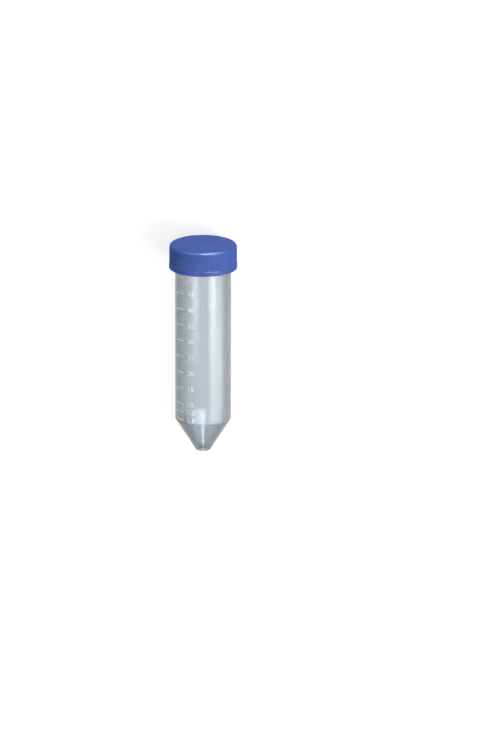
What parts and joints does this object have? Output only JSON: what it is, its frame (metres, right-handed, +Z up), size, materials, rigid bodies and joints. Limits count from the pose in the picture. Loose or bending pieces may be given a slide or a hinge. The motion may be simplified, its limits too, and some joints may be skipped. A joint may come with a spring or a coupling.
{
  "type": "conical tube",
  "caption": "Translucent conical-bottom tube with a blue ribbed screw cap, a plug seal and a printed volume scale, for holding and spinning liquid samples.",
  "frame": {"origin": "on the floor, under the middle of the closed tube's box, as it lies at rest", "axes": "+Y runs from the conical tip to the cap along the lying tube, whose axis rises about 2 degrees towards the cap; +Z is up, +X across"},
  "size_m": [0.0356, 0.1132, 0.0359],
  "materials": {
    "tube_plastic": "natural translucent polypropylene, moulded smooth, white printed scale",
    "cap_plastic": "opaque blue polyethylene, satin moulded, finely ribbed side",
    "seal_plastic": "natural soft polyethylene"
  },
  "bodies": {
    "tube": {"tube": "tube_plastic"},
    "seal": {"plug_seal": "seal_plastic"},
    "cap": {"cap": "cap_plastic"}
  },
  "joints": [
    {"name": "cap_lift", "type": "slide", "parent": "tube", "child": "seal", "axis": [0, 0.9993, 0.0379], "range_m": [0, 0.016]},
    {"name": "cap_turn", "type": "hinge", "parent": "seal", "child": "cap", "pos_m": [0, 0.04997, 0.01804], "axis": [0, 0.9993, 0.0379], "range_deg": [0, 1800]}
  ],
  "couplings": [
    {"joint": "cap_lift", "follows": "cap_turn", "m_per_rad": 0.0005093}
  ]
}
